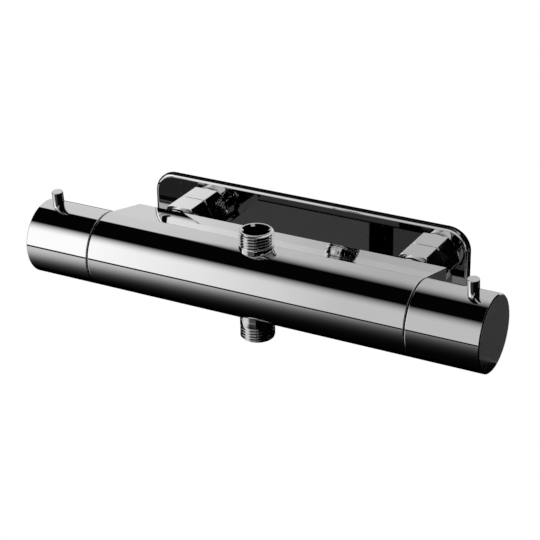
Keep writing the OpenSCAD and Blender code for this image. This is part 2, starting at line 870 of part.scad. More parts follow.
module flow_housing() {
    housing_r = cart_r - seat_gap;
    color("#d9d6cc") at_end(1) difference() {
        turned([
            [flow_bore_r, flow_end_x + seal_lip], [housing_r, flow_end_x + seal_lip],
            [housing_r, -mouth_depth], [neck_r, -mouth_depth], [neck_r, neck_out],
            [spindle_r + run_gap, neck_out], [spindle_r + run_gap, head_x],
            [flow_bore_r, head_x]
        ]);
        groove(head_x + head_t / 2, housing_r);
    }
}

module flow_orings() {
    color("#1c1c1c") at_end(1)
        oring(head_x + head_t / 2, cart_r - seat_gap);
}

// Three water ways through the seal and the fixed disc
module port_cuts(from, to) {
    for (z = [-side_channel_z, 0, side_channel_z])
        translate([0, 0, z]) rod(from - over, to + over, channel_r);
}

module disc_seal() {
    color("#1c1c1c") at_end(1) difference() {
        rod(flow_end_x, fixed_x, disc_r);
        port_cuts(flow_end_x, fixed_x);
    }
}

module fixed_disc() {
    color("#efeae0") at_end(1) difference() {
        rod(fixed_x, fixed_x + fixed_t, disc_r);
        port_cuts(fixed_x, fixed_x + fixed_t);
    }
}

// Moving disc: a blind slot joins the middle port to one of the others when turned
module moving_disc() {
    color("#f4f1ea") at_end(1) difference() {
        rod(moving_x, moving_x + moving_t, disc_r);
        rod(moving_x - over, moving_x + slot_depth, channel_r);
        translate([0, side_channel_z, 0]) rod(moving_x - over, moving_x + slot_depth, channel_r);
        translate([moving_x - over, 0, -channel_r])
            cube([slot_depth + over, side_channel_z, 2 * channel_r]);
        for (y = [-1, 1]) translate([0, y * driver_pin_at, 0])
            rod(driver_x - driver_pin_len, driver_x + over, driver_pin_r + seat_gap);
    }
}

module flow_spindle() {
    color("#b9bcc0") at_end(1) {
        spindle_shaft(driver_x + over);
        rod(driver_x, driver_x + driver_t, disc_r - run_gap);
        for (y = [-1, 1]) translate([0, y * driver_pin_at, 0])
            rod(driver_x - driver_pin_len + seat_gap, driver_x + over, driver_pin_r);
    }
}

mixer_body();
top_outlet();
bottom_outlet();
wall_plate();
wall_seals();
inlet_tail(-1);  // hot_inlet_tail
inlet_tail(1);  // cold_inlet_tail
snap_ring(-1);  // hot_snap_ring
snap_ring(1);  // cold_snap_ring
washer(-1);  // hot_washer
washer(1);  // cold_washer
strainer(-1);  // hot_strainer
strainer(1);  // cold_strainer
check_housing(-1);  // hot_check_housing
check_housing(1);  // cold_check_housing
check_spring(-1);  // hot_check_spring
check_spring(1);  // cold_check_spring
poppet(-1);  // hot_poppet
poppet(1);  // cold_poppet
union_nut(-1);  // hot_union_nut
union_nut(1);  // cold_union_nut
glide_ring(-1);  // left_glide_ring
glide_ring(1);  // right_glide_ring
thermostat_housing();
retaining_nut(-1);  // thermostat_nut
thermostat_orings();
stop_ring(-1, cold_turn, hot_turn);  // temp_stop_ring
return_spring();
thermostat_spindle();
spindle_oring(-1);
pusher();
overtravel_spring();
wax_element();
shuttle();
handle_shell(-1);  // temp_handle
handle_cap(-1);  // temp_cap
lever_pin(-1);  // temp_pin
handle_insert(-1, cold_turn, hot_turn);  // temp_insert
handle_screw(-1);  // temp_screw
flow_housing();
retaining_nut(1);  // flow_nut
flow_orings();
stop_ring(1, flow_turn, flow_turn);  // flow_stop_ring
disc_seal();
fixed_disc();
moving_disc();
flow_spindle();
spindle_oring(1);  // flow_spindle_oring
handle_shell(1);  // flow_handle
handle_cap(1);  // flow_cap
lever_pin(1);  // flow_pin
handle_insert(1, flow_turn, flow_turn);  // flow_insert
handle_screw(1);  // flow_screw
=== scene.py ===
import json
import math
import bmesh
import bpy
import numpy as np
from mathutils import Matrix, Vector


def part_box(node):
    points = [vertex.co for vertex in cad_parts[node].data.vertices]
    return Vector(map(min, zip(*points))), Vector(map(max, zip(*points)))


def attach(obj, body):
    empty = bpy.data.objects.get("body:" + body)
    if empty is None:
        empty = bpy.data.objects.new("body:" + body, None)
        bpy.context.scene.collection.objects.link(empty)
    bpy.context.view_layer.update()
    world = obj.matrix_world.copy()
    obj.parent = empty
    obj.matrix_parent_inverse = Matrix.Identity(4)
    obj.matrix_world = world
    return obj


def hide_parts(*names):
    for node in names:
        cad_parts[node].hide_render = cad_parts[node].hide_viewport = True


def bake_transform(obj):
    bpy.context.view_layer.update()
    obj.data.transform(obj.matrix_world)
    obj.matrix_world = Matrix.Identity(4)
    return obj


# A thermostatic shower valve in polished chrome. Lengths are in millimetres until a mesh is made.
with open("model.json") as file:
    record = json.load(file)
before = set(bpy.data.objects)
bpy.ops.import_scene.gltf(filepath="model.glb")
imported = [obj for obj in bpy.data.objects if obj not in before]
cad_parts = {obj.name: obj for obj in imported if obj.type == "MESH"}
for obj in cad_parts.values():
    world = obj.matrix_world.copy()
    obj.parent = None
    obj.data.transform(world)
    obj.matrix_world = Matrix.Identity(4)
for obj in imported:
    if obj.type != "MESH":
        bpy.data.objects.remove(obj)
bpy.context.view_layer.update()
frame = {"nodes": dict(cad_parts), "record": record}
mm = 0.001
print("frame loaded:", len(frame["nodes"]), "nodes")


def boxOf(node):
    low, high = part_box(node)
    return np.array(low) / mm, np.array(high) / mm


# Places that several pieces share, read from the frame
knobLow, knobHigh = boxOf("flow_handle")
barRadius = (knobHigh[2] - knobLow[2]) / 2
axisY = (knobHigh[1] + knobLow[1]) / 2
halfBody, rearFace = boxOf("mixer_body")[1][:2]
plateLow, plateHigh = boxOf("wall_plate")
tailLow, tailHigh = boxOf("cold_inlet_tail")
inletX = (tailLow[0] + tailHigh[0]) / 2


# One node socket. Its operators add the Math node that they stand for.
class Wire:
    def __init__(self, tree, socket=None):
        self.tree = tree
        self.socket = socket

    def node(self, kind, settings, inputs, output=0):
        made = self.tree.nodes.new(kind)
        for key, value in settings.items():
            setattr(made, key, value)
        for key, value in inputs.items():
            if isinstance(value, Wire):
                self.tree.links.new(value.socket, made.inputs[key])
            else:
                made.inputs[key].default_value = value
        return Wire(self.tree, made.outputs[output] if made.outputs else None)

    def maths(self, operation, first, second=0.0):
        return self.node("ShaderNodeMath", {"operation": operation}, {0: first, 1: second})

    def __add__(self, other):
        return self.maths("ADD", self, other)

    __radd__ = __add__

    def __sub__(self, other):
        return self.maths("SUBTRACT", self, other)

    def __rsub__(self, other):
        return self.maths("SUBTRACT", other, self)

    def __mul__(self, other):
        return self.maths("MULTIPLY", self, other)

    __rmul__ = __mul__

    def __truediv__(self, other):
        return self.maths("DIVIDE", self, other)

    def __rtruediv__(self, other):
        return self.maths("DIVIDE", other, self)

    def __pow__(self, other):
        return self.maths("POWER", self, other)

    def __lt__(self, other):
        return self.maths("LESS_THAN", self, other)

    def __neg__(self):
        return self * -1.0

    def smooth(self, start, end):
        # 0 before start, 1 after end, and an even S between them
        rising = {"From Min": start, "From Max": end, "To Min": 0.0, "To Max": 1.0}
        return self.node("ShaderNodeMapRange", {"interpolation_type": "SMOOTHSTEP"},
                         {"Value": self, **rising})

    def between(self, start, full, fading, end):
        # Rises from start to full and falls from fading to end
        return self.smooth(start, full) * (1 - self.smooth(fading, end))

    def swell(self):
        # Held between 0 and 1, then the sine of that share of a quarter turn
        held = self.maths("MINIMUM", self.maths("MAXIMUM", self, 0.0), 1.0)
        return self.maths("SINE", held * (math.pi / 2))


# Camera: where the photograph was taken from
camera = {"place": (444.59, -863.56, 442.39), "yaw": 28.66, "pitch": -25.50, "roll": -0.88,
          "lens": 114.66, "sensor": 36.0, "nearest": 10.0}


def placeCamera():
    yaw, pitch, roll = (math.radians(camera[key]) for key in ("yaw", "pitch", "roll"))
    ahead = Vector((-math.sin(yaw) * math.cos(pitch), math.cos(yaw) * math.cos(pitch), math.sin(pitch)))
    level = Vector((math.cos(yaw), math.sin(yaw), 0))
    above = level.cross(ahead)
    right = math.cos(roll) * level + math.sin(roll) * above
    up = -math.sin(roll) * level + math.cos(roll) * above
    data = bpy.data.cameras.new("photoCamera")
    data.lens = camera["lens"]
    data.sensor_width = camera["sensor"]
    data.clip_start = camera["nearest"] * mm
    made = bpy.data.objects.new("photoCamera", data)
    turn = Matrix((right, up, -ahead)).transposed().to_4x4()
    made.matrix_world = Matrix.Translation(Vector(camera["place"]) * mm) @ turn
    bpy.context.scene.collection.objects.link(made)
    bpy.context.scene.camera = made


placeCamera()
bpy.context.scene.view_settings.view_transform = "Standard"
print("camera placed")

# Studio, as directions seen from the valve. "tilt" is the angle about the bar from straight ahead (0)
# over the top (90) to the wall (180); "side" runs from -1 at the left to 1 at the right. The fill light
# goes by "height", the angle above the level, and by "compass", from straight ahead (0) to the right (90).
studio = {
    "black": 0.0015, "left": -0.88, "right": 0.235, "edge": 0.02, "tiltFrom": -115.0, "lineSoft": 0.4,
    "boxLevel": 0.757, "boxGain": 4.9, "boxGainFrom": 0.39, "boxMost": 1.45, "boxBottom": -12.2,
    "bottomSlant": -16.0, "boxTop": 53.5, "boxTopSlant": 29.0, "boxFade": 29.0,
    "tableLevel": 0.88, "tableTop": -15.9, "tableSlant": -21.0, "tableStart": -5.0, "tableReach": -40.0,
    "tableFrom": 0.312, "tableSpan": 0.231, "tablePower": 1.5, "tableFade": 10.0,
    "backLevel": 0.60, "backGain": 2.0, "backDip": 0.365, "backMost": 0.86, "backFrom": 98.0,
    "backSlant": 40.0, "backFade": 36.0, "backTo": 183.0, "backEnd": 206.0,
    "sharpFrom": 0.43, "sharpTo": 0.49, "sharpLift": 6.0, "sharpFade": 3.0,
    "wallLevel": 0.05, "wallTo": 225.0, "wallEnd": 245.0,
    "fillLevel": 0.5, "fillFrom": 0.25, "fillTo": 0.5, "lowFrom": -21.0, "lowTo": -1.0, "fillHigh": 40.0,
    "rearFrom": 0.52, "rearCompass": 95.0, "rearLow": -21.0, "rearTop": -3.0,
    "sideSoft": 0.04, "lowSoft": 3.0, "compassSoft": 6.0, "highSoft": 8.0}


def lightStudio():
    s = studio
    world = bpy.data.worlds.new("studio")
    bpy.context.scene.world = world
    world.use_nodes = True
    world.node_tree.nodes.clear()
    start = Wire(world.node_tree)
    seen = start.node("ShaderNodeTexCoord", {}, {}, "Generated")
    side, toWall, up = [start.node("ShaderNodeSeparateXYZ", {}, {"Vector": seen}, k) for k in range(3)]
    degree = 180 / math.pi
    turn = start.maths("ARCTAN2", up, -toWall) * degree
    tilt = turn + (turn < s["tiltFrom"]) * 360.0
    compass = start.maths("ARCTAN2", side, -toWall) * degree
    height = start.maths("ARCSINE", up) * degree
    left = -side
    within = side.between(s["left"] - s["edge"], s["left"], s["right"], s["right"] + s["edge"])
    beyond = start.maths("MAXIMUM", left - s["tableFrom"], 0.0)
    soft = s["lineSoft"]

    # Front soft box: brighter to the left, with a soft upper edge and a sharp lower one
    boxLevel = s["boxLevel"] + s["boxGain"] * start.maths("MAXIMUM", left - s["boxGainFrom"], 0.0)
    boxLevel = start.maths("MINIMUM", boxLevel, s["boxMost"])
    top = s["boxTop"] + s["boxTopSlant"] * (left - s["tableFrom"])
    above = tilt - s["bottomSlant"] * beyond
    boxShape = ((top - tilt) / s["boxFade"]).swell()
    softBox = boxLevel * (boxShape * above.smooth(s["boxBottom"] - soft, s["boxBottom"] + soft))

    # Table below the soft box: its glow dies away under the bar, sooner on the right
    below = tilt - s["tableSlant"] * beyond
    middle = s["tableStart"] + s["tableReach"] * (beyond / s["tableSpan"]) ** s["tablePower"]
    falling = start.maths("EXPONENT", (middle - tilt) / s["tableFade"])
    table = s["tableLevel"] / (1 + falling) * (1 - below.smooth(s["tableTop"] - soft, s["tableTop"] + soft))

    # Pale backdrop above and behind the wall plate, with a sharp lower edge on the left
    dip = start.maths("ABSOLUTE", left - s["backDip"])
    backLevel = start.maths("MINIMUM", s["backLevel"] + s["backGain"] * dip, s["backMost"])
    sharp = left.smooth(s["sharpFrom"], s["sharpTo"])
    lowEdge = s["backFrom"] + s["backSlant"] * (left - s["tableFrom"]) + s["sharpLift"] * sharp
    width = s["backFade"] - (s["backFade"] - s["sharpFade"]) * sharp
    rise = ((tilt - lowEdge) / width).swell()
    backdrop = backLevel * rise * (1 - tilt.smooth(s["backTo"], s["backEnd"]))

    # Dim wall below the backdrop
    wall = s["wallLevel"] * tilt.between(s["backTo"], s["backEnd"], s["wallTo"], s["wallEnd"])

    # Fill that the photograph's side hardly sees, all on the right: high up, low in front and low behind
    sideSoft, lowSoft = s["sideSoft"], s["lowSoft"]
    behind = compass.smooth(s["rearCompass"], s["rearCompass"] + s["compassSoft"])
    low = height.between(s["lowFrom"], s["lowFrom"] + lowSoft, s["lowTo"] - lowSoft, s["lowTo"])
    high = height.smooth(s["fillHigh"], s["fillHigh"] + s["highSoft"])
    rear = height.between(s["rearLow"], s["rearLow"] + lowSoft, s["rearTop"] - lowSoft, s["rearTop"])
    nearFill = side.between(s["fillFrom"], s["fillFrom"] + sideSoft, s["fillTo"], s["fillTo"] + sideSoft)
    rearFill = side.smooth(s["rearFrom"], s["rearFrom"] + sideSoft) * behind * rear
    fill = s["fillLevel"] * (nearFill * (low * (1 - behind) + high) + rearFill)

    level = s["black"] + (softBox + table + backdrop) * within + wall + fill
    toCamera = start.node("ShaderNodeLightPath", {}, {}, "Is Camera Ray")
    shown = start.node("ShaderNodeMix", {"data_type": "FLOAT"}, {0: toCamera, 2: level, 3: 1.0})
    light = start.node("ShaderNodeBackground", {}, {"Strength": shown})
    start.node("ShaderNodeOutputWorld", {}, {"Surface": light})


lightStudio()
print("studio lit")


# Material with an empty tree, and the wire that its nodes start from
def newMaterial(name):
    material = bpy.data.materials.new(name)
    material.use_nodes = True
    material.node_tree.nodes.clear()
    return material, Wire(material.node_tree)


# Flat card of the stage, named after its material
def newCard(material, corners):
    mesh = bpy.data.meshes.new(material.name)
    mesh.from_pydata([[length * mm for length in corner] for corner in corners], [], [(0, 1, 2, 3)])
    mesh.materials.append(material)
    made = bpy.data.objects.new(material.name, mesh)
    bpy.context.scene.collection.objects.link(made)


# Floor: pale, pure white to the camera, and left out of the metal's reflections
floor = {"half": 3000.0, "below": 420.0, "colour": (0.82, 0.82, 0.82, 1), "roughness": 0.6}


def layFloor():
    material, start = newMaterial("paleFloor")
    matte = start.node("ShaderNodeBsdfDiffuse", {},
                       {"Color": floor["colour"], "Roughness": floor["roughness"]})
    white = start.node("ShaderNodeEmission", {}, {"Strength": 1.0})
    clear = start.node("ShaderNodeBsdfTransparent", {}, {})
    toCamera = start.node("ShaderNodeLightPath", {}, {}, "Is Camera Ray")
    glossy = start.node("ShaderNodeLightPath", {}, {}, "Is Glossy Ray")
    shown = start.node("ShaderNodeMixShader", {}, {0: toCamera, 1: matte, 2: white})
    surface = start.node("ShaderNodeMixShader", {}, {0: glossy, 1: shown, 2: clear})
    start.node("ShaderNodeOutputMaterial", {}, {"Surface": surface})
    half, low = floor["half"], -floor["below"]
    newCard(material, [(-half, -half, low), (half, -half, low), (half, half, low), (-half, half, low)])


layFloor()
print("floor laid")

# Flags: upright cards, clear to the camera, that keep the table and the backdrop off the wall plate.
# Each is seen in the metal only, as an even level of grey.
flags = [
    {"name": "underGlowLeft", "left": -420.0, "right": -3.0, "wallward": -54.0, "low": -54.0, "high": -26.0,
     "level": 0.065},
    {"name": "underGlowRight", "left": 15.0, "right": 78.0, "wallward": -54.0, "low": -48.0, "high": -26.5,
     "level": 0.045},
    {"name": "underGlowEnd", "left": 78.0, "right": 200.0, "wallward": -54.0, "low": -54.0, "high": -24.0,
     "level": 0.15},
    {"name": "underDark", "left": -420.0, "right": 200.0, "wallward": -55.0, "low": -160.0, "high": -24.0,
     "level": 0.0},
    {"name": "leftDark", "left": -420.0, "right": -109.0, "wallward": 1.0, "low": -160.0, "high": 12.0,
     "level": 0.02},
    {"name": "backDark", "left": -109.0, "right": 140.0, "wallward": 1.0, "low": -160.0, "high": -30.0,
     "level": 0.0},
]


def hangFlag(flag):
    material, start = newMaterial(flag["name"])
    card = start.node("ShaderNodeEmission", {}, {"Strength": flag["level"]})
    clear = start.node("ShaderNodeBsdfTransparent", {}, {})
    glossy = start.node("ShaderNodeLightPath", {}, {}, "Is Glossy Ray")
    surface = start.node("ShaderNodeMixShader", {}, {0: glossy, 1: clear, 2: card})
    start.node("ShaderNodeOutputMaterial", {}, {"Surface": surface})
    newCard(material, [(flag[x], flag["wallward"], flag[z]) for x, z in
                       (("left", "low"), ("right", "low"), ("right", "high"), ("left", "high"))])


for flag in flags:
    hangFlag(flag)
print("flags hung")

# What all finishes share: how fine their noise is, and which part of it shades or clouds the surface
pattern = {"hazeDetail": 3.0, "grainDetail": 2.0, "shadeFrom": 0.3, "shadeTo": 0.7,
           "cloudFrom": 0.45, "cloudTo": 0.75, "bumpDepth": 0.0001}


# Finishes. Every one reads Object coordinates, so its pattern stays on the piece.
def newFinish(name, look):
    material, start = newMaterial(name)
    place = start.node("ShaderNodeTexCoord", {}, {}, "Object")
    return material, place, noise(place, look["hazeScale"], pattern["hazeDetail"])


def noise(place, scale, detail):
    return place.node("ShaderNodeTexNoise", {}, {"Vector": place, "Scale": scale, "Detail": detail})


def blend(amount, first, second):
    return amount.node("ShaderNodeMix", {"data_type": "RGBA"}, {0: amount, 6: first, 7: second}, 2)


def shaded(haze, look):
    return blend(haze.smooth(pattern["shadeFrom"], pattern["shadeTo"]), look["colour"], look["shade"])


def bumpOf(height, strength):
    return height.node("ShaderNodeBump", {},
                       {"Height": height, "Strength": strength, "Distance": pattern["bumpDepth"]})


def endFinish(start, inputs):
    surface = start.node("ShaderNodeBsdfPrincipled", {}, inputs)
    start.node("ShaderNodeOutputMaterial", {}, {"Surface": surface})


def metalFinish(name, look):
    material, place, haze = newFinish(name, look)
    colour = shaded(haze, look)
    roughness = look["roughness"] + look["hazeGain"] * haze.smooth(pattern["cloudFrom"], pattern["cloudTo"])
    inputs = {"Base Color": colour, "Roughness": roughness, "Metallic": 1.0}
    if "edgeFrom" in look:
        depth = place.node("ShaderNodeSeparateXYZ", {}, {"Vector": place}, 1)
        beyond = depth.between(look["edgeFrom"], look["edgeFrom"] + look["edgeBlend"],
                               look["edgeTo"], look["edgeTo"] + look["edgeBlend"])
        inputs = {"Base Color": blend(beyond, colour, look["edgeColour"]),
                  "Roughness": roughness + look["edgeRough"] * beyond, "Metallic": 1 - beyond,
                  "Specular IOR Level": look["specular"]}
    if look["bump"] > 0:
        specks = noise(place, look["grainScale"], pattern["grainDetail"])
        inputs["Normal"] = bumpOf(specks, look["bump"])
    endFinish(place, inputs)
    return material


def softFinish(name, look):
    material, place, haze = newFinish(name, look)
    specks = noise(place, look["grainScale"], pattern["grainDetail"])
    endFinish(place, {"Base Color": shaded(haze, look), "Specular IOR Level": look["specular"],
                      "Roughness": look["roughness"] + look["grainGain"] * specks,
                      "Normal": bumpOf(specks, look["bump"])})
    return material


def grey(level):
    return (level, level, level, 1.0)


metalLooks = {
    "polished_chrome": {"colour": grey(0.84), "shade": grey(0.82), "roughness": 0.02,
                        "hazeScale": 45.0, "hazeGain": 0.01, "bump": 0.0},
    "satin_cap": {"colour": grey(0.70), "shade": grey(0.66), "roughness": 0.24,
                  "hazeScale": 60.0, "hazeGain": 0.04, "grainScale": 2400.0, "bump": 0.08},
    "bright_trim": {"colour": grey(0.85), "shade": grey(0.83), "roughness": 0.02,
                    "hazeScale": 80.0, "hazeGain": 0.01, "bump": 0.0},
    "brass": {"colour": (0.72, 0.48, 0.17, 1), "shade": (0.58, 0.36, 0.11, 1), "roughness": 0.28,
              "hazeScale": 120.0, "hazeGain": 0.15, "grainScale": 1500.0, "bump": 0.25},
    "copper": {"colour": (0.80, 0.40, 0.24, 1), "shade": (0.62, 0.27, 0.15, 1), "roughness": 0.25,
               "hazeScale": 120.0, "hazeGain": 0.15, "grainScale": 1500.0, "bump": 0.2},
    "steel": {"colour": grey(0.60), "shade": grey(0.50), "roughness": 0.22,
              "hazeScale": 150.0, "hazeGain": 0.12, "grainScale": 1800.0, "bump": 0.2},
    "spring_steel": {"colour": (0.50, 0.50, 0.52, 1), "shade": (0.38, 0.38, 0.41, 1), "roughness": 0.3,
                     "hazeScale": 200.0, "hazeGain": 0.12, "grainScale": 2000.0, "bump": 0.2},
}
softLooks = {
    "rubber": {"colour": grey(0.018), "shade": grey(0.03), "roughness": 0.6, "specular": 0.35,
               "hazeScale": 90.0, "grainScale": 1800.0, "grainGain": 0.2, "bump": 0.3},
    "black_plastic": {"colour": grey(0.012), "shade": grey(0.02), "roughness": 0.4, "specular": 0.4,
                      "hazeScale": 90.0, "grainScale": 2200.0, "grainGain": 0.15, "bump": 0.2},
    "white_plastic": {"colour": (0.80, 0.79, 0.75, 1), "shade": (0.72, 0.71, 0.66, 1), "roughness": 0.35,
                      "specular": 0.5, "hazeScale": 70.0, "grainScale": 2200.0, "grainGain": 0.15,
                      "bump": 0.15},
    "red_plastic": {"colour": (0.62, 0.06, 0.03, 1), "shade": (0.52, 0.04, 0.02, 1), "roughness": 0.35,
                    "specular": 0.5, "hazeScale": 70.0, "grainScale": 2200.0, "grainGain": 0.15,
                    "bump": 0.15},
    "ceramic": {"colour": (0.86, 0.84, 0.78, 1), "shade": (0.80, 0.77, 0.70, 1), "roughness": 0.12,
                "specular": 0.6, "hazeScale": 60.0, "grainScale": 2600.0, "grainGain": 0.08,
                "bump": 0.05},
}
finishes = {name: metalFinish(name, look) for name, look in metalLooks.items()}
finishes.update({name: softFinish(name, look) for name, look in softLooks.items()})
slotOf = {part["node"]: part["material_slot"] for part in frame["record"]["subparts"]}
print("finishes made:", len(finishes))

# Meshes: how close doubles and slivers may lie, in metres, and the angle in degrees that stays sharp
meshing = {"doubles": 2e-7, "slivers": 1e-7, "sharp": 30.0}


# Faces of a grid of points, closed along its rows or its columns if asked
def gridFaces(rows, columns, closeRows, closeColumns):
    r, c = np.meshgrid(np.arange(rows if closeRows else rows - 1),
                       np.arange(columns if closeColumns else columns - 1), indexing="ij")
    nextRow, nextColumn = (r + 1) % rows, (c + 1) % columns
    corners = [r * columns + c, r * columns + nextColumn,
               nextRow * columns + nextColumn, nextRow * columns + c]
    return np.stack(corners, -1).reshape(-1, 4).tolist()


# The faces that close a grid at its first and its last row
def endFaces(rows, columns):
    return [list(range(columns)), list(range((rows - 1) * columns, rows * columns))]


# Path through the corners, each one replaced by an arc: its centre lies on the corner's bisector, and
# its points turn evenly from one side to the other. A point just before and after it keeps flats flat.
def roundCorners(corners, radii, steps=5, support=0.03):
    corners = np.asarray(corners, float)
    path = []
    for k, radius in enumerate(radii):
        here = corners[k]
        if radius == 0:
            path.append(here[None])
            continue
        back = corners[k - 1] - here
        onward = corners[(k + 1) % len(corners)] - here
        back = back / np.linalg.norm(back)
        onward = onward / np.linalg.norm(onward)
        half = math.acos(np.clip(back @ onward, -1, 1)) / 2
        reach = radius / math.tan(half)
        middle = here + (back + onward) / np.linalg.norm(back + onward) * radius / math.sin(half)
        turn = math.pi - 2 * half
        t = np.linspace(0, 1, steps + 1)[:, None]
        first, last = here + back * reach - middle, here + onward * reach - middle
        arc = middle + (np.sin((1 - t) * turn) * first + np.sin(t * turn) * last) / math.sin(turn)
        path += [(here + back * (reach + support))[None], arc, (here + onward * (reach + support))[None]]
    return np.concatenate(path)


# Unit vectors that point out of a closed outline round the origin: square to the mean of both runs
def outwardOf(outline):
    runs = np.stack([outline - np.roll(outline, 1, 0), np.roll(outline, -1, 0) - outline])
    runs = runs / np.linalg.norm(runs, axis=-1, keepdims=True)
    tangent = runs.sum(0)
    tangent = tangent / np.linalg.norm(tangent, axis=-1, keepdims=True)
    outward = np.stack([-tangent[:, 1], tangent[:, 0]], -1)
    return outward * np.sign((outward * outline).sum(-1, keepdims=True))


# Mesh from points in millimetres: doubles merged, faces turned outwards, smooth but for real edges
def newMesh(name, points, faces, sharp=meshing["sharp"]):
    mesh = bpy.data.meshes.new(name)
    mesh.from_pydata((np.asarray(points).reshape(-1, 3) * mm).tolist(), [], faces)
    work = bmesh.new()
    work.from_mesh(mesh)
    bmesh.ops.remove_doubles(work, verts=work.verts, dist=meshing["doubles"])
    bmesh.ops.dissolve_degenerate(work, edges=work.edges, dist=meshing["slivers"])
    bmesh.ops.recalc_face_normals(work, faces=work.faces)
    work.to_mesh(mesh)
    work.free()
    smoothMesh(mesh, sharp)
    return mesh


def smoothMesh(mesh, sharp):
    mesh.polygons.foreach_set("use_smooth", np.ones(len(mesh.polygons), bool))
    mesh.set_sharp_from_angle(angle=math.radians(sharp))
    mesh.update()


def newPiece(name, mesh, body, *nodes):
    made = bpy.data.objects.new(name, mesh)
    bpy.context.scene.collection.objects.link(made)
    slotName = slotOf[nodes[0]]
    mesh.materials.clear()
    mesh.materials.append(finishes[slotName])
    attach(made, body)
    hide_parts(*nodes)
    return made


# Surface of revolution: the profile gives radius and place along the axis, the second parameter the angle
def turned(profile, along, origin, steps, closed=True):
    along = np.asarray(along, float)
    side = np.array((0.0, -1.0, 0.0)) if abs(along[1]) < 0.5 else np.array((1.0, 0.0, 0.0))
    side = side - along * (side @ along)
    side = side / np.linalg.norm(side)
    other = np.cross(along, side)
    angle = np.linspace(0, 2 * np.pi, steps, endpoint=False)
    ring = np.cos(angle)[:, None] * side + np.sin(angle)[:, None] * other
    radius, place = np.asarray(profile, float).T
    points = np.asarray(origin) + place[:, None, None] * along + radius[:, None, None] * ring
    return points, gridFaces(len(radius), steps, closed, True)


# Takes the cutters' space out of a piece's mesh
def cutOut(mesh, cutters, sharp=meshing["sharp"]):
    points = np.concatenate([p.reshape(-1, 3) for p, f in cutters])
    faces, offset = [], 0
    for p, f in cutters:
        faces += [[k + offset for k in face] for face in f]
        offset += p.size // 3
    tool = bpy.data.objects.new("cutter", newMesh("cutter", points, faces))
    work = bpy.data.objects.new("work", mesh)
    for o in (tool, work):
        bpy.context.scene.collection.objects.link(o)
    cut = work.modifiers.new("cut", "BOOLEAN")
    cut.operation = "DIFFERENCE"
    cut.solver = "EXACT"
    cut.object = tool
    graph = bpy.context.evaluated_depsgraph_get()
    done = bpy.data.meshes.new_from_object(work.evaluated_get(graph))
    for o in (tool, work):
        bpy.data.objects.remove(o)
    smoothMesh(done, sharp)
    return done


# Outlets: height of each rim, and the threads below it
outlets = {"bore": 7.5, "shankRadius": 9.3, "shankLength": 7.0, "sink": 1.0, "radius": 10.4775,
           "pitch": 1.814, "depth": 1.162, "rimChamfer": 0.8, "innerChamfer": 1.2,
           "threads": {"top_outlet": 9.1, "bottom_outlet": 9.0}, "flank": 0.667, "rounding": 0.14,
           "fade": 0.3, "rowsPerPitch": 32, "columns": 144, "footInset": 0.2, "footEnd": 0.3,
           "floorHeight": 6.0, "clearance": 0.05, "support": 0.05, "rimSupport": 0.03, "sharp": 40.0}
outletSeat = math.sqrt(barRadius ** 2 - outlets["radius"] ** 2) - outlets["sink"]
outletFoot = outlets["radius"] - outlets["footInset"]

# Body: the section is a round front, two flats at a slope and a flat rear face
body = {"blendAngle": 3.0, "rearEdge": 15.0, "edgeRound": 0.5, "frontSteps": 150, "flatSteps": 4,
        "flatSupport": 0.02, "endSteps": 5, "endSupport": 0.03, "rings": 25, "ringShare": 0.96,
        "mouthRadius": 17.25, "mouthDepth": 8.0, "boreRadius": 16.0, "boreDepths": (61.0, 52.0),
        "channelRadius": 4.0, "tailRadius": 11.05, "tailDepth": 7.5, "portRadius": 7.0,
        "portDepth": 14.0, "cutPast": 5.0, "outletSteps": 144, "portSteps": 96, "sharp": 25.0}


def bodySection():
    depth = rearFace - axisY
    edge = body["rearEdge"]
    reach = barRadius * math.cos(math.radians(body["blendAngle"]))
    slope = math.asin(reach / math.hypot(depth, edge)) - math.atan2(edge, depth)
    along = barRadius * math.sin(math.radians(body["blendAngle"]))
    blendY = reach * math.sin(slope) + along * math.cos(slope)
    blendZ = reach * math.cos(slope) - along * math.sin(slope)
    last = math.atan2(blendZ, -blendY)
    angle = np.linspace(last, -last, body["frontSteps"] + 1)
    front = np.stack([-barRadius * np.cos(angle), barRadius * np.sin(angle)], -1)
    r = body["edgeRound"]
    rear = roundCorners([(blendY, -blendZ), (depth, -edge), (depth, edge), (blendY, blendZ)], (0, r, r, 0))
    flat = np.linspace(0, 1, body["flatSteps"] + 1)[1:-1, None]
    low = front[-1] + (rear[1] - front[-1]) * flat
    high = rear[-2] + (front[0] - rear[-2]) * flat
    near = body["flatSupport"]
    support = [front[-1] + (low[0] - front[-1]) * near, front[0] + (high[-1] - front[0]) * near]
    return np.concatenate([front, support[0][None], low, rear[1:-1], high, support[1][None]])


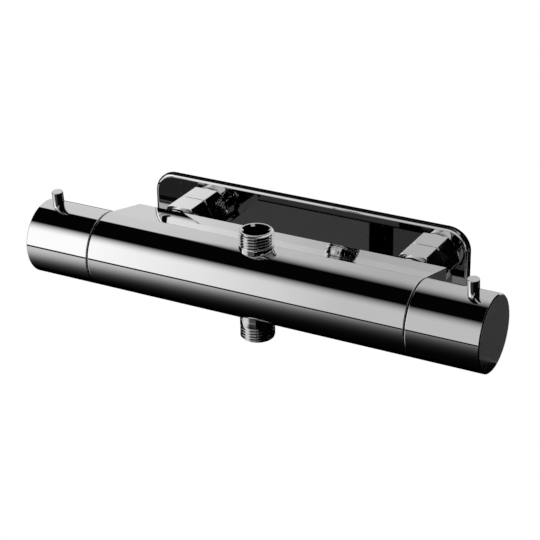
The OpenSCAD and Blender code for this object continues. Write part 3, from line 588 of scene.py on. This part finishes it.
# Loft of the section along the bar; the rounded ends draw it in, and the cartridge bores close the ring
def bodyMesh():
    section = bodySection()
    outward = outwardOf(section)
    polar = section / np.linalg.norm(section, axis=-1, keepdims=True)
    r, support = body["edgeRound"], body["endSupport"]
    rows = [(-halfBody + r * (1 - math.sin(turn)), section - outward * r * (1 - math.cos(turn)))
            for turn in np.linspace(math.pi / 2, 0, body["endSteps"] + 1)]
    inner = rows[0][1]
    rows = [(-halfBody, inner - outward * support)] + rows + [(-halfBody + r + support, section)]
    end = [(-x, ring) for x, ring in reversed(rows)]
    share = body["ringShare"]
    rows += [(x, section) for x in np.linspace(-halfBody * share, halfBody * share, body["rings"])] + end
    mouth, bore = body["mouthRadius"], body["boreRadius"]
    hotDepth, coldDepth = body["boreDepths"]
    depth = body["mouthDepth"]
    inside = [(halfBody, mouth), (halfBody - depth, mouth), (halfBody - depth, bore),
              (halfBody - coldDepth, bore), (halfBody - coldDepth, body["channelRadius"]),
              (hotDepth - halfBody, body["channelRadius"]), (hotDepth - halfBody, bore),
              (depth - halfBody, bore), (depth - halfBody, mouth), (-halfBody, mouth)]
    rows += [(x, polar * radius) for x, radius in inside]
    points = np.stack([np.column_stack([np.full(len(ring), x), ring[:, 0] + axisY, ring[:, 1]])
                       for x, ring in rows])
    mesh = newMesh("bar_body", points, gridFaces(len(rows), len(section), True, True), body["sharp"])
    o, gap, past = outlets, outlets["clearance"], body["cutPast"]
    shank, foot, floorEnd = o["shankRadius"] + gap, outletFoot + gap, outletSeat - o["shankLength"]
    cutters = []
    for way in (1, -1):
        profile = [(0, o["floorHeight"]), (o["bore"], o["floorHeight"]), (o["bore"], floorEnd),
                   (shank, floorEnd), (shank, outletSeat), (foot, outletSeat),
                   (foot, barRadius + past), (0, barRadius + past)]
        cutters.append(turned(profile, (0, 0, way), (0, axisY, 0), body["outletSteps"], False))
        profile = [(0, -body["portDepth"]), (body["portRadius"], -body["portDepth"]),
                   (body["portRadius"], -body["tailDepth"]), (body["tailRadius"], -body["tailDepth"]),
                   (body["tailRadius"], past), (0, past)]
        cutters.append(turned(profile, (0, 1, 0), (way * inletX, rearFace, 0), body["portSteps"], False))
    return cutOut(mesh, cutters, body["sharp"])


newPiece("bar_body", bodyMesh(), "valve", "mixer_body")
print("body built")


# 0 below 0, 1 above 1 and straight between, with a short parabola at both bends
def ramp(t, bend):
    part = [np.where(x > bend, x, np.clip(x + bend, 0, None) ** 2 / (4 * bend)) for x in (t, t - 1)]
    return part[0] - part[1]


# Outlet: a tube whose outer wall follows a helix. Height rises a pitch for each turn, and the radius
# follows a V with the phase: straight flanks between a narrow root and crest. The groove starts within a
# short fade and ends in the chamfer of the rim.
def outletPiece(node, way, bodyName):
    o = outlets
    low, high = boxOf(node)
    rim = high[2] if way > 0 else -low[2]
    start = rim - o["threads"][node]
    turns = o["threads"][node] / o["pitch"]
    phase = np.arange(-1, turns + 1, 1 / o["rowsPerPitch"])[:, None]
    angle = np.linspace(0, 2 * np.pi, o["columns"] + 1)[None]
    height = np.clip(start + o["pitch"] * (phase + angle / (2 * np.pi)), start, rim)
    steps = (height - start) / o["pitch"] - angle / (2 * np.pi) + 0.5
    wave = np.abs(2 * (steps - np.floor(steps)) - 1)
    crest = ramp((wave - 0.5) / o["flank"] + 0.5, o["rounding"])
    fade = ramp((height - start) / (o["pitch"] * o["fade"]), o["rounding"])
    radius = o["radius"] - o["depth"] * (1 - crest) * fade
    radius = np.minimum(radius, o["radius"] - o["rimChamfer"] + (rim - height))
    bore, chamfer, near = o["bore"], o["innerChamfer"], o["support"]
    shank, shankEnd, footEnd = o["shankRadius"], outletSeat - o["shankLength"], barRadius + o["footEnd"]
    inside = [(bore + chamfer + o["rimSupport"], rim), (bore + chamfer, rim), (bore, rim - chamfer),
              (bore, rim - chamfer - near), (bore, shankEnd), (shank, shankEnd), (shank, outletSeat),
              (outletFoot, outletSeat), (outletFoot, footEnd), (o["radius"], footEnd),
              (o["radius"], start - near)]
    plain = np.array(inside)
    radius = np.concatenate([radius, np.repeat(plain[:, :1], radius.shape[1], 1)])
    height = np.concatenate([height, np.repeat(plain[:, 1:], height.shape[1], 1)])
    turn = np.repeat(angle, len(radius), 0)
    points = np.stack([radius * np.cos(turn) * way, axisY + radius * np.sin(turn), height * way], -1)
    mesh = newMesh(node + "_nipple", points, gridFaces(*radius.shape, True, False), o["sharp"])
    newPiece(node + "_nipple", mesh, bodyName, node)


outletPiece("top_outlet", 1, "valve")
outletPiece("bottom_outlet", -1, "valve")
print("outlets built")

# Handles: shell, end cap and lever pin of each end
handle = {"wall": 2.6, "grooveRound": 0.6, "endChamfer": 0.65, "endRound": 0.12, "capRim": 1.0,
          "capDepth": 2.5, "capGap": 0.05, "capRound": 0.1, "capSteps": 4, "skirt": 2.0,
          "skirtWall": 1.2, "ringSteps": 256}
pin = {"radius": 3.5, "height": 10.0, "lean": 6.0, "seat": 21.6, "round": 0.3, "studRadius": 2.2,
       "studLength": 4.6, "ringSteps": 96}


def handlePieces(way, bodyName, shellNode, capNode, pinNode):
    h = handle
    low, high = boxOf(shellNode)
    near, far = (low[0], high[0]) if way > 0 else (-high[0], -low[0])
    along, origin = (way, 0, 0), (0, axisY, 0)
    inner = barRadius - h["wall"]
    seat = barRadius - h["capRim"]
    capEnd = far - h["capDepth"]
    c, e = h["endChamfer"], h["endRound"]
    shell = roundCorners(
        [(inner, near), (barRadius, near), (barRadius, far - c), (barRadius - c, far), (seat, far),
         (seat, capEnd), (inner, capEnd)],
        (0, h["grooveRound"], e, e, 0, 0, 0))
    mesh = newMesh(shellNode, *turned(shell, along, origin, h["ringSteps"]))
    newPiece(shellNode + "_shell", mesh, bodyName, shellNode)
    g = h["capGap"]
    step = inner - g - h["skirtWall"]
    cap = roundCorners(
        [(0, far), (seat - g, far), (seat - g, capEnd), (inner - g, capEnd),
         (inner - g, capEnd - h["skirt"]), (step, capEnd - h["skirt"]), (step, capEnd), (0, capEnd)],
        (0, h["capRound"], 0, 0, 0, 0, 0, 0), steps=h["capSteps"])
    mesh = newMesh(capNode, *turned(cap, along, origin, h["ringSteps"], False))
    newPiece(capNode + "_disc", mesh, bodyName, capNode)
    lean = math.radians(pin["lean"])
    pinLow, pinHigh = boxOf(pinNode)
    tip, studEnd = barRadius + pin["height"], pin["seat"] - pin["studLength"]
    lever = roundCorners(
        [(0, studEnd), (pin["studRadius"], studEnd), (pin["studRadius"], pin["seat"]),
         (pin["radius"], pin["seat"]), (pin["radius"], tip), (0, tip)],
        (0, 0, 0, 0, pin["round"], 0))
    mesh = newMesh(pinNode, *turned(lever, (0, -math.sin(lean), math.cos(lean)),
                                    ((pinLow[0] + pinHigh[0]) / 2, axisY, 0), pin["ringSteps"], False))
    newPiece(pinNode + "_lever", mesh, bodyName, pinNode)


handlePieces(-1, "temperature_knob", "temp_handle", "temp_cap", "temp_pin")
handlePieces(1, "flow_knob", "flow_handle", "flow_cap", "flow_pin")
print("handles built")

# Unions: inlet tail with its round collar, and the nut that turns on it
union = {"plugRadius": 11.0, "plugLength": 7.5, "bore": 7.3, "collarRadius": 13.5, "collarLength": 4.1,
         "neckRadius": 10.0, "grooveRadius": 9.1, "grooveFrom": 11.2, "grooveWidth": 1.2,
         "tailEnd": 13.6, "collarRound": 0.5, "ringSteps": 144}
nut = {"flats": 28.0, "cornerRound": 0.6, "cornerSteps": 4, "flatSteps": 8, "shoulderRadius": 13.5,
       "shoulderLength": 2.2, "shoulderChamfer": 0.3, "frontRing": 15.57, "frontSlope": 0.5,
       "rearRing": 14.97, "rearSlope": 0.5, "hole": 10.06, "frontWall": 3.0, "relief": 12.6,
       "reliefEnd": 16.5, "thread": 12.188, "support": 0.05, "sharp": 20.0}


def tailPiece(way, node):
    u = union
    grooveEnd = u["grooveFrom"] + u["grooveWidth"]
    profile = roundCorners(
        [(u["bore"], -u["plugLength"]), (u["plugRadius"], -u["plugLength"]), (u["plugRadius"], 0),
         (u["collarRadius"], 0), (u["collarRadius"], u["collarLength"]),
         (u["neckRadius"], u["collarLength"]), (u["neckRadius"], u["grooveFrom"]),
         (u["grooveRadius"], u["grooveFrom"]), (u["grooveRadius"], grooveEnd),
         (u["neckRadius"], grooveEnd), (u["neckRadius"], u["tailEnd"]), (u["bore"], u["tailEnd"])],
        (0, 0, 0, 0, u["collarRound"], 0, 0, 0, 0, 0, 0, 0))
    mesh = newMesh(node, *turned(profile, (0, 1, 0), (way * inletX, rearFace, 0), u["ringSteps"]))
    newPiece(node + "_collar", mesh, "valve", node)


# Hexagon with cones at both ends: each outline point keeps its angle, and where it lies outside an end's
# ring, the cone sets how far along the nut the flat begins
def nutPiece(way, node, bodyName):
    n = nut
    low, high = boxOf(node)
    tip, end = low[1], high[1]
    start = tip + n["shoulderLength"]
    apothem = n["flats"] / 2
    corner = apothem / math.cos(math.pi / 6)
    angle = np.arange(6) * math.pi / 3
    hexagon = np.stack([corner * np.cos(angle), corner * np.sin(angle)], -1)
    outline = roundCorners(hexagon, [n["cornerRound"]] * 6, steps=n["cornerSteps"])
    ahead = np.roll(outline, -1, 0)
    pieces = [outline + (ahead - outline) * t for t in np.linspace(0, 1, n["flatSteps"], endpoint=False)]
    outline = np.stack(pieces, 1).reshape(-1, 2)
    far = np.linalg.norm(outline, axis=-1)
    unit = outline / far[:, None]
    frontEdge, rearEdge = np.minimum(far, n["frontRing"]), np.minimum(far, n["rearRing"])
    frontY = start + (far - frontEdge) * n["frontSlope"]
    rearY = end - (far - rearEdge) * n["rearSlope"]
    ring, c, near = n["shoulderRadius"], n["shoulderChamfer"], n["support"]
    wallEnd, reliefEnd = start + n["frontWall"], rearFace + n["reliefEnd"]
    rows = [(n["hole"], tip), (ring - c, tip), (ring, tip + c), (ring, start), (frontEdge - near, start),
            (frontEdge, start), (far, frontY), (far, frontY + near), (far, rearY - near), (far, rearY),
            (rearEdge, end), (rearEdge - near, end), (n["thread"], end), (n["thread"], reliefEnd),
            (n["relief"], reliefEnd), (n["relief"], wallEnd), (n["hole"], wallEnd)]
    points = np.stack([np.column_stack([unit[:, 0] * r + way * inletX, y + 0 * far, unit[:, 1] * r])
                       for r, y in rows])
    mesh = newMesh(node, points, gridFaces(len(rows), len(far), True, True), n["sharp"])
    newPiece(node + "_hex", mesh, bodyName, node)


tailPiece(-1, "hot_inlet_tail")
tailPiece(1, "cold_inlet_tail")
nutPiece(-1, "hot_union_nut", "hot_nut")
nutPiece(1, "cold_union_nut", "cold_nut")
print("unions built")

# Wall plate: rounded rectangle whose front edge is rounded, with a hole behind each union. Its sides are
# left dark behind the rounding.
plate = {"cornerRadius": 14.0, "cornerSteps": 28, "cornerSupport": 0.4, "edgeRound": 2.2, "edgeSteps": 8,
         "backRound": 0.25, "backSteps": 3, "support": 0.1, "backSupport": 0.05, "hole": 13.4,
         "sealRadius": 21.05, "sealDepth": 1.5, "cutPast": 3.0, "holeSteps": 144,
         "edgeShare": 0.55, "edgeBlend": 0.1, "edgeLevel": 0.004, "edgeRough": 0.6, "specular": 0.0}


def platePiece():
    p = plate
    halfW, halfH = plateHigh[0], plateHigh[2]
    corners = [(halfW, halfH), (-halfW, halfH), (-halfW, -halfH), (halfW, -halfH)]
    outline = roundCorners(corners, [p["cornerRadius"]] * 4, steps=p["cornerSteps"],
                           support=p["cornerSupport"])
    outward = outwardOf(outline)
    front, back = plateLow[1], plateHigh[1]
    e, b, near, past = p["edgeRound"], p["backRound"], p["support"], p["cutPast"]
    rows = [(e + near, front)]
    rows += [(e * (1 - math.sin(t)), front + e * (1 - math.cos(t)))
             for t in np.linspace(0, math.pi / 2, p["edgeSteps"] + 1)]
    rows += [(0, front + e + near), (0, back - b - p["backSupport"])]
    rows += [(b * (1 - math.cos(t)), back - b + b * math.sin(t))
             for t in np.linspace(0, math.pi / 2, p["backSteps"] + 1)]
    rows += [(b + near, back)]
    rings = [outline - outward * inset for inset, y in rows]
    points = np.stack([np.column_stack([ring[:, 0], np.full(len(ring), y), ring[:, 1]])
                       for ring, (inset, y) in zip(rings, rows)])
    faces = gridFaces(len(rows), len(outline), False, True) + endFaces(len(rows), len(outline))
    mesh = newMesh("wall_plate", points, faces)
    cutters = []
    for way in (-1, 1):
        profile = [(0, front - past), (p["hole"], front - past), (p["hole"], back - p["sealDepth"]),
                   (p["sealRadius"], back - p["sealDepth"]), (p["sealRadius"], back + past),
                   (0, back + past)]
        cutters.append(turned(profile, (0, 1, 0), (way * inletX, 0, 0), p["holeSteps"], False))
    made = newPiece("wall_plate_mirror", cutOut(mesh, cutters), "valve", "wall_plate")
    look = {"specular": p["specular"], "edgeFrom": (front + e * p["edgeShare"]) * mm,
            "edgeTo": (back - 2 * b) * mm, "edgeBlend": p["edgeBlend"] * mm,
            "edgeColour": grey(p["edgeLevel"]), "edgeRough": p["edgeRough"]}
    made.data.materials[0] = metalFinish("plate_chrome", {**metalLooks["polished_chrome"], **look})


platePiece()
print("plate built")

# Springs that a sliding piece presses: which way each one lies, and what it rests on and follows
springs = [
    {"node": "return_spring", "way": 0, "wire": 1.2, "turns": 7.0, "follows": "thermostat_slide",
     "presser": "shuttle"},
    {"node": "hot_check_spring", "way": 1, "wire": 0.5, "turns": 5.0, "follows": "hot_check",
     "presser": "hot_poppet"},
    {"node": "cold_check_spring", "way": 1, "wire": 0.5, "turns": 5.0, "follows": "cold_check",
     "presser": "cold_poppet"},
]
coil = {"stepsPerTurn": 32, "sides": 12, "sharp": 50.0}


# Round wire on a helix: its centre climbs evenly with the turn, and each ring of points lies in the plane
# through the axis.
def springPiece(spring):
    low, high = boxOf(spring["node"])
    way, wire = spring["way"], spring["wire"]
    across, upward = [k for k in range(3) if k != way]
    middle = (low + high) / 2
    mean = (high[across] - low[across] - wire) / 2
    share = np.linspace(0, 1, round(spring["turns"] * coil["stepsPerTurn"]) + 1)[:, None]
    around = np.linspace(0, 2 * np.pi, coil["sides"], endpoint=False)[None]
    turn = 2 * np.pi * spring["turns"] * share
    reach = mean + wire / 2 * np.cos(around)
    climb = low[way] + wire / 2 + (high[way] - low[way] - wire) * share
    points = np.empty((len(share), coil["sides"], 3))
    points[..., way] = climb + wire / 2 * np.sin(around)
    points[..., across] = middle[across] + reach * np.cos(turn)
    points[..., upward] = middle[upward] + reach * np.sin(turn)
    faces = gridFaces(len(share), coil["sides"], False, True) + endFaces(len(share), coil["sides"])
    name = spring["node"] + "_coil"
    made = bpy.data.objects.new(name, newMesh(name, points, faces, coil["sharp"]))
    bpy.context.scene.collection.objects.link(made)
    made.data.materials.append(finishes[slotOf[spring["node"]]])
    presserLow, presserHigh = boxOf(spring["presser"])
    start, end = middle.copy(), middle.copy()
    pressedHigh = (presserLow + presserHigh)[way] / 2 > middle[way]
    start[way], end[way] = (low[way], high[way]) if pressedHigh else (high[way], low[way])
    tuple(start * mm)
    tuple(end * mm)
    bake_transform(made)
    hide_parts(spring["node"])


for spring in springs:
    springPiece(spring)
print("springs built:", len(springs))

# The CAD nodes that stay get the finish of their slot
for name, node in frame["nodes"].items():
    if not node.hide_render:
        node.data.materials.clear()
        node.data.materials.append(finishes[slotOf[name]])
print("finishes given")
